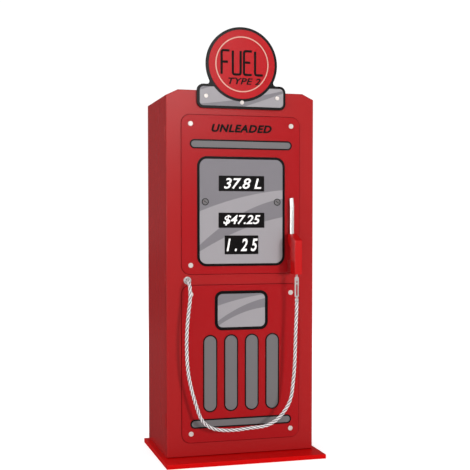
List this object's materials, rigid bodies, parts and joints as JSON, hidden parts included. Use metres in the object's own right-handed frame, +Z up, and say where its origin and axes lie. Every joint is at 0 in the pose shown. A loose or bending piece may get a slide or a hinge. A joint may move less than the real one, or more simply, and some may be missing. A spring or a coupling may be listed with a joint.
{
  "type": "gas pump cabinet",
  "caption": "Tall lacquered cabinet dressed as a fuel pump: hinged door with display and grille panels, round sign, rope hose and lift-off nozzle.",
  "frame": {"origin": "centre of the base board's underside", "axes": "+Z up, the door faces -Y, the nozzle is on the +X side"},
  "size_m": [0.662, 0.493, 1.7465],
  "materials": {
    "red_lacquer": "high-gloss red lacquer on board",
    "red_panel": "glossy red",
    "black_gloss": "glossy black",
    "grey_face": "satin grey with two tones of diagonal bands",
    "cream_ring": "thin cream line",
    "bright_screw": "polished",
    "grey_screw": "grey with a dark rim",
    "zinc": "zinc plated",
    "red_metal": "red paint",
    "white_plastic": "moulded white",
    "nickel": "nickel plated",
    "steel_tube": "polished steel tube",
    "rope": "silver-white laid rope",
    "red_nozzle": "glossy red moulding",
    "red_trigger": "glossy red moulding"
  },
  "bodies": {
    "cabinet": {"base_board": "red_lacquer", "side_panel_left": "red_lacquer", "side_panel_right": "red_lacquer", "top_slope_left": "red_lacquer", "top_slope_right": "red_lacquer", "top_panel": "red_lacquer", "bottom_panel": "red_lacquer", "back_panel": "red_lacquer", "shelf_lower": "red_lacquer", "shelf_middle": "red_lacquer", "shelf_upper": "red_lacquer", "shelf_pins": "zinc", "base_screws": "zinc", "back_panel_screws": "zinc", "magnetic_catch": "white_plastic", "catch_screws": "zinc", "hinge_leaves_cabinet": "red_metal", "hinge_pins": "zinc", "hinge_screws_cabinet": "zinc"},
    "door": {"front_door": "red_lacquer", "hinge_leaves_door": "red_metal", "hinge_screws_door": "zinc", "catch_plate": "zinc", "upper_panel": "red_panel", "lower_panel": "red_panel", "panel_screws": "bright_screw", "display_border": "black_gloss", "display_face": "grey_face", "volume_window": "black_gloss", "total_window": "black_gloss", "price_window": "black_gloss", "display_screws": "grey_screw", "upper_trim_border": "black_gloss", "upper_trim_face": "grey_face", "lower_trim_border": "black_gloss", "lower_trim_face": "grey_face", "lower_window_border": "black_gloss", "lower_window_face": "grey_face", "grille_borders": "black_gloss", "grille_faces": "grey_face", "sign_board": "black_gloss", "sign_disc_face": "red_panel", "sign_ring": "cream_ring", "sign_plate_face": "grey_face", "sign_screws": "bright_screw", "rope_grommet": "nickel", "rope_stop": "rope", "hose": "rope", "nozzle_holder": "red_metal", "holder_screws": "bright_screw"},
    "nozzle": {"nozzle_body": "red_nozzle", "spout": "steel_tube", "trigger_pin": "zinc", "trigger_spring": "zinc", "nozzle_staple": "nickel", "snap_hook": "nickel", "gate_pin": "zinc", "rope_ferrule": "nickel"},
    "trigger": {"nozzle_trigger": "red_trigger"},
    "gate": {"snap_hook_gate": "nickel"}
  },
  "joints": [
    {"name": "door_hinge", "type": "hinge", "parent": "cabinet", "child": "door", "pos_m": [-0.309, -0.122, 0.75], "axis": [0, 0, -1], "range_deg": [0, 110]},
    {"name": "nozzle_lift", "type": "slide", "parent": "door", "child": "nozzle", "axis": [0, 0, 1], "range_m": [0, 0.024]},
    {"name": "trigger_pull", "type": "hinge", "parent": "nozzle", "child": "trigger", "pos_m": [0.21, -0.1785, 0.877], "axis": [-1, 0, 0], "range_deg": [0, 8], "stiffness_Nm_per_rad": 0.15, "springref_deg": -14.32},
    {"name": "gate_open", "type": "hinge", "parent": "nozzle", "child": "gate", "pos_m": [0.2159, -0.2235, 0.6712], "axis": [0, -1, 0], "range_deg": [0, 10], "stiffness_Nm_per_rad": 0.01, "springref_deg": -17.19}
  ]
}
